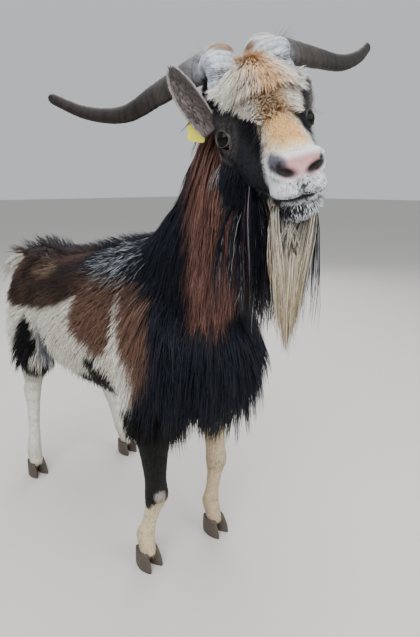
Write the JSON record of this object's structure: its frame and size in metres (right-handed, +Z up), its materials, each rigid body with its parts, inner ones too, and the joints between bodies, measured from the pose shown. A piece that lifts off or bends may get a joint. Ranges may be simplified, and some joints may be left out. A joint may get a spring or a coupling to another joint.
{
  "type": "styrian pied goat",
  "caption": "Life-size museum model of a pied billy goat, standing with its head turned, with long coat, mane, beard and sweeping horns.",
  "frame": {"origin": "on the ground under the middle of the whole goat's outline box", "axes": "+Z up, the goat faces -Y, its own left side is +X"},
  "size_m": [0.499, 1.2686, 1.1375],
  "materials": {
    "coat_face": "short hair with a tan and cream forelock, dark blue-black cheeks and a pink nose",
    "coat_mane": "long red-brown and black hair",
    "coat_black": "long glossy blue-black hair",
    "coat_flank": "coarse hair in brown, white and black patches",
    "coat_white": "short white hair",
    "coat_cream": "short cream hair",
    "horn": "ridged grey-brown horn keratin, slightly polished",
    "hoof": "dull grey-brown hoof keratin",
    "ear_skin": "thin ear with short grey hair",
    "eye": "wet dark amber eye with a level pupil",
    "tag": "yellow moulded ear tag, bare"
  },
  "bodies": {
    "root": {"head": "coat_face", "neck": "coat_mane", "chest": "coat_black", "barrel": "coat_flank", "rump": "coat_flank", "tail": "coat_white", "foreleg_upper_right": "coat_black", "foreleg_lower_right": "coat_cream", "hindleg_upper_right": "coat_white", "hindleg_lower_right": "coat_white", "horn_right": "horn", "ear_right": "ear_skin", "eye_right": "eye", "tag_right": "tag", "hoof_foreleg_right_inner": "hoof", "hoof_foreleg_right_outer": "hoof", "hoof_hindleg_right_inner": "hoof", "hoof_hindleg_right_outer": "hoof", "foreleg_upper_left": "coat_cream", "foreleg_lower_left": "coat_cream", "hindleg_upper_left": "coat_white", "hindleg_lower_left": "coat_white", "horn_left": "horn", "ear_left": "ear_skin", "eye_left": "eye", "tag_left": "tag", "hoof_foreleg_left_inner": "hoof", "hoof_foreleg_left_outer": "hoof", "hoof_hindleg_left_inner": "hoof", "hoof_hindleg_left_outer": "hoof"}
  },
  "joints": []
}
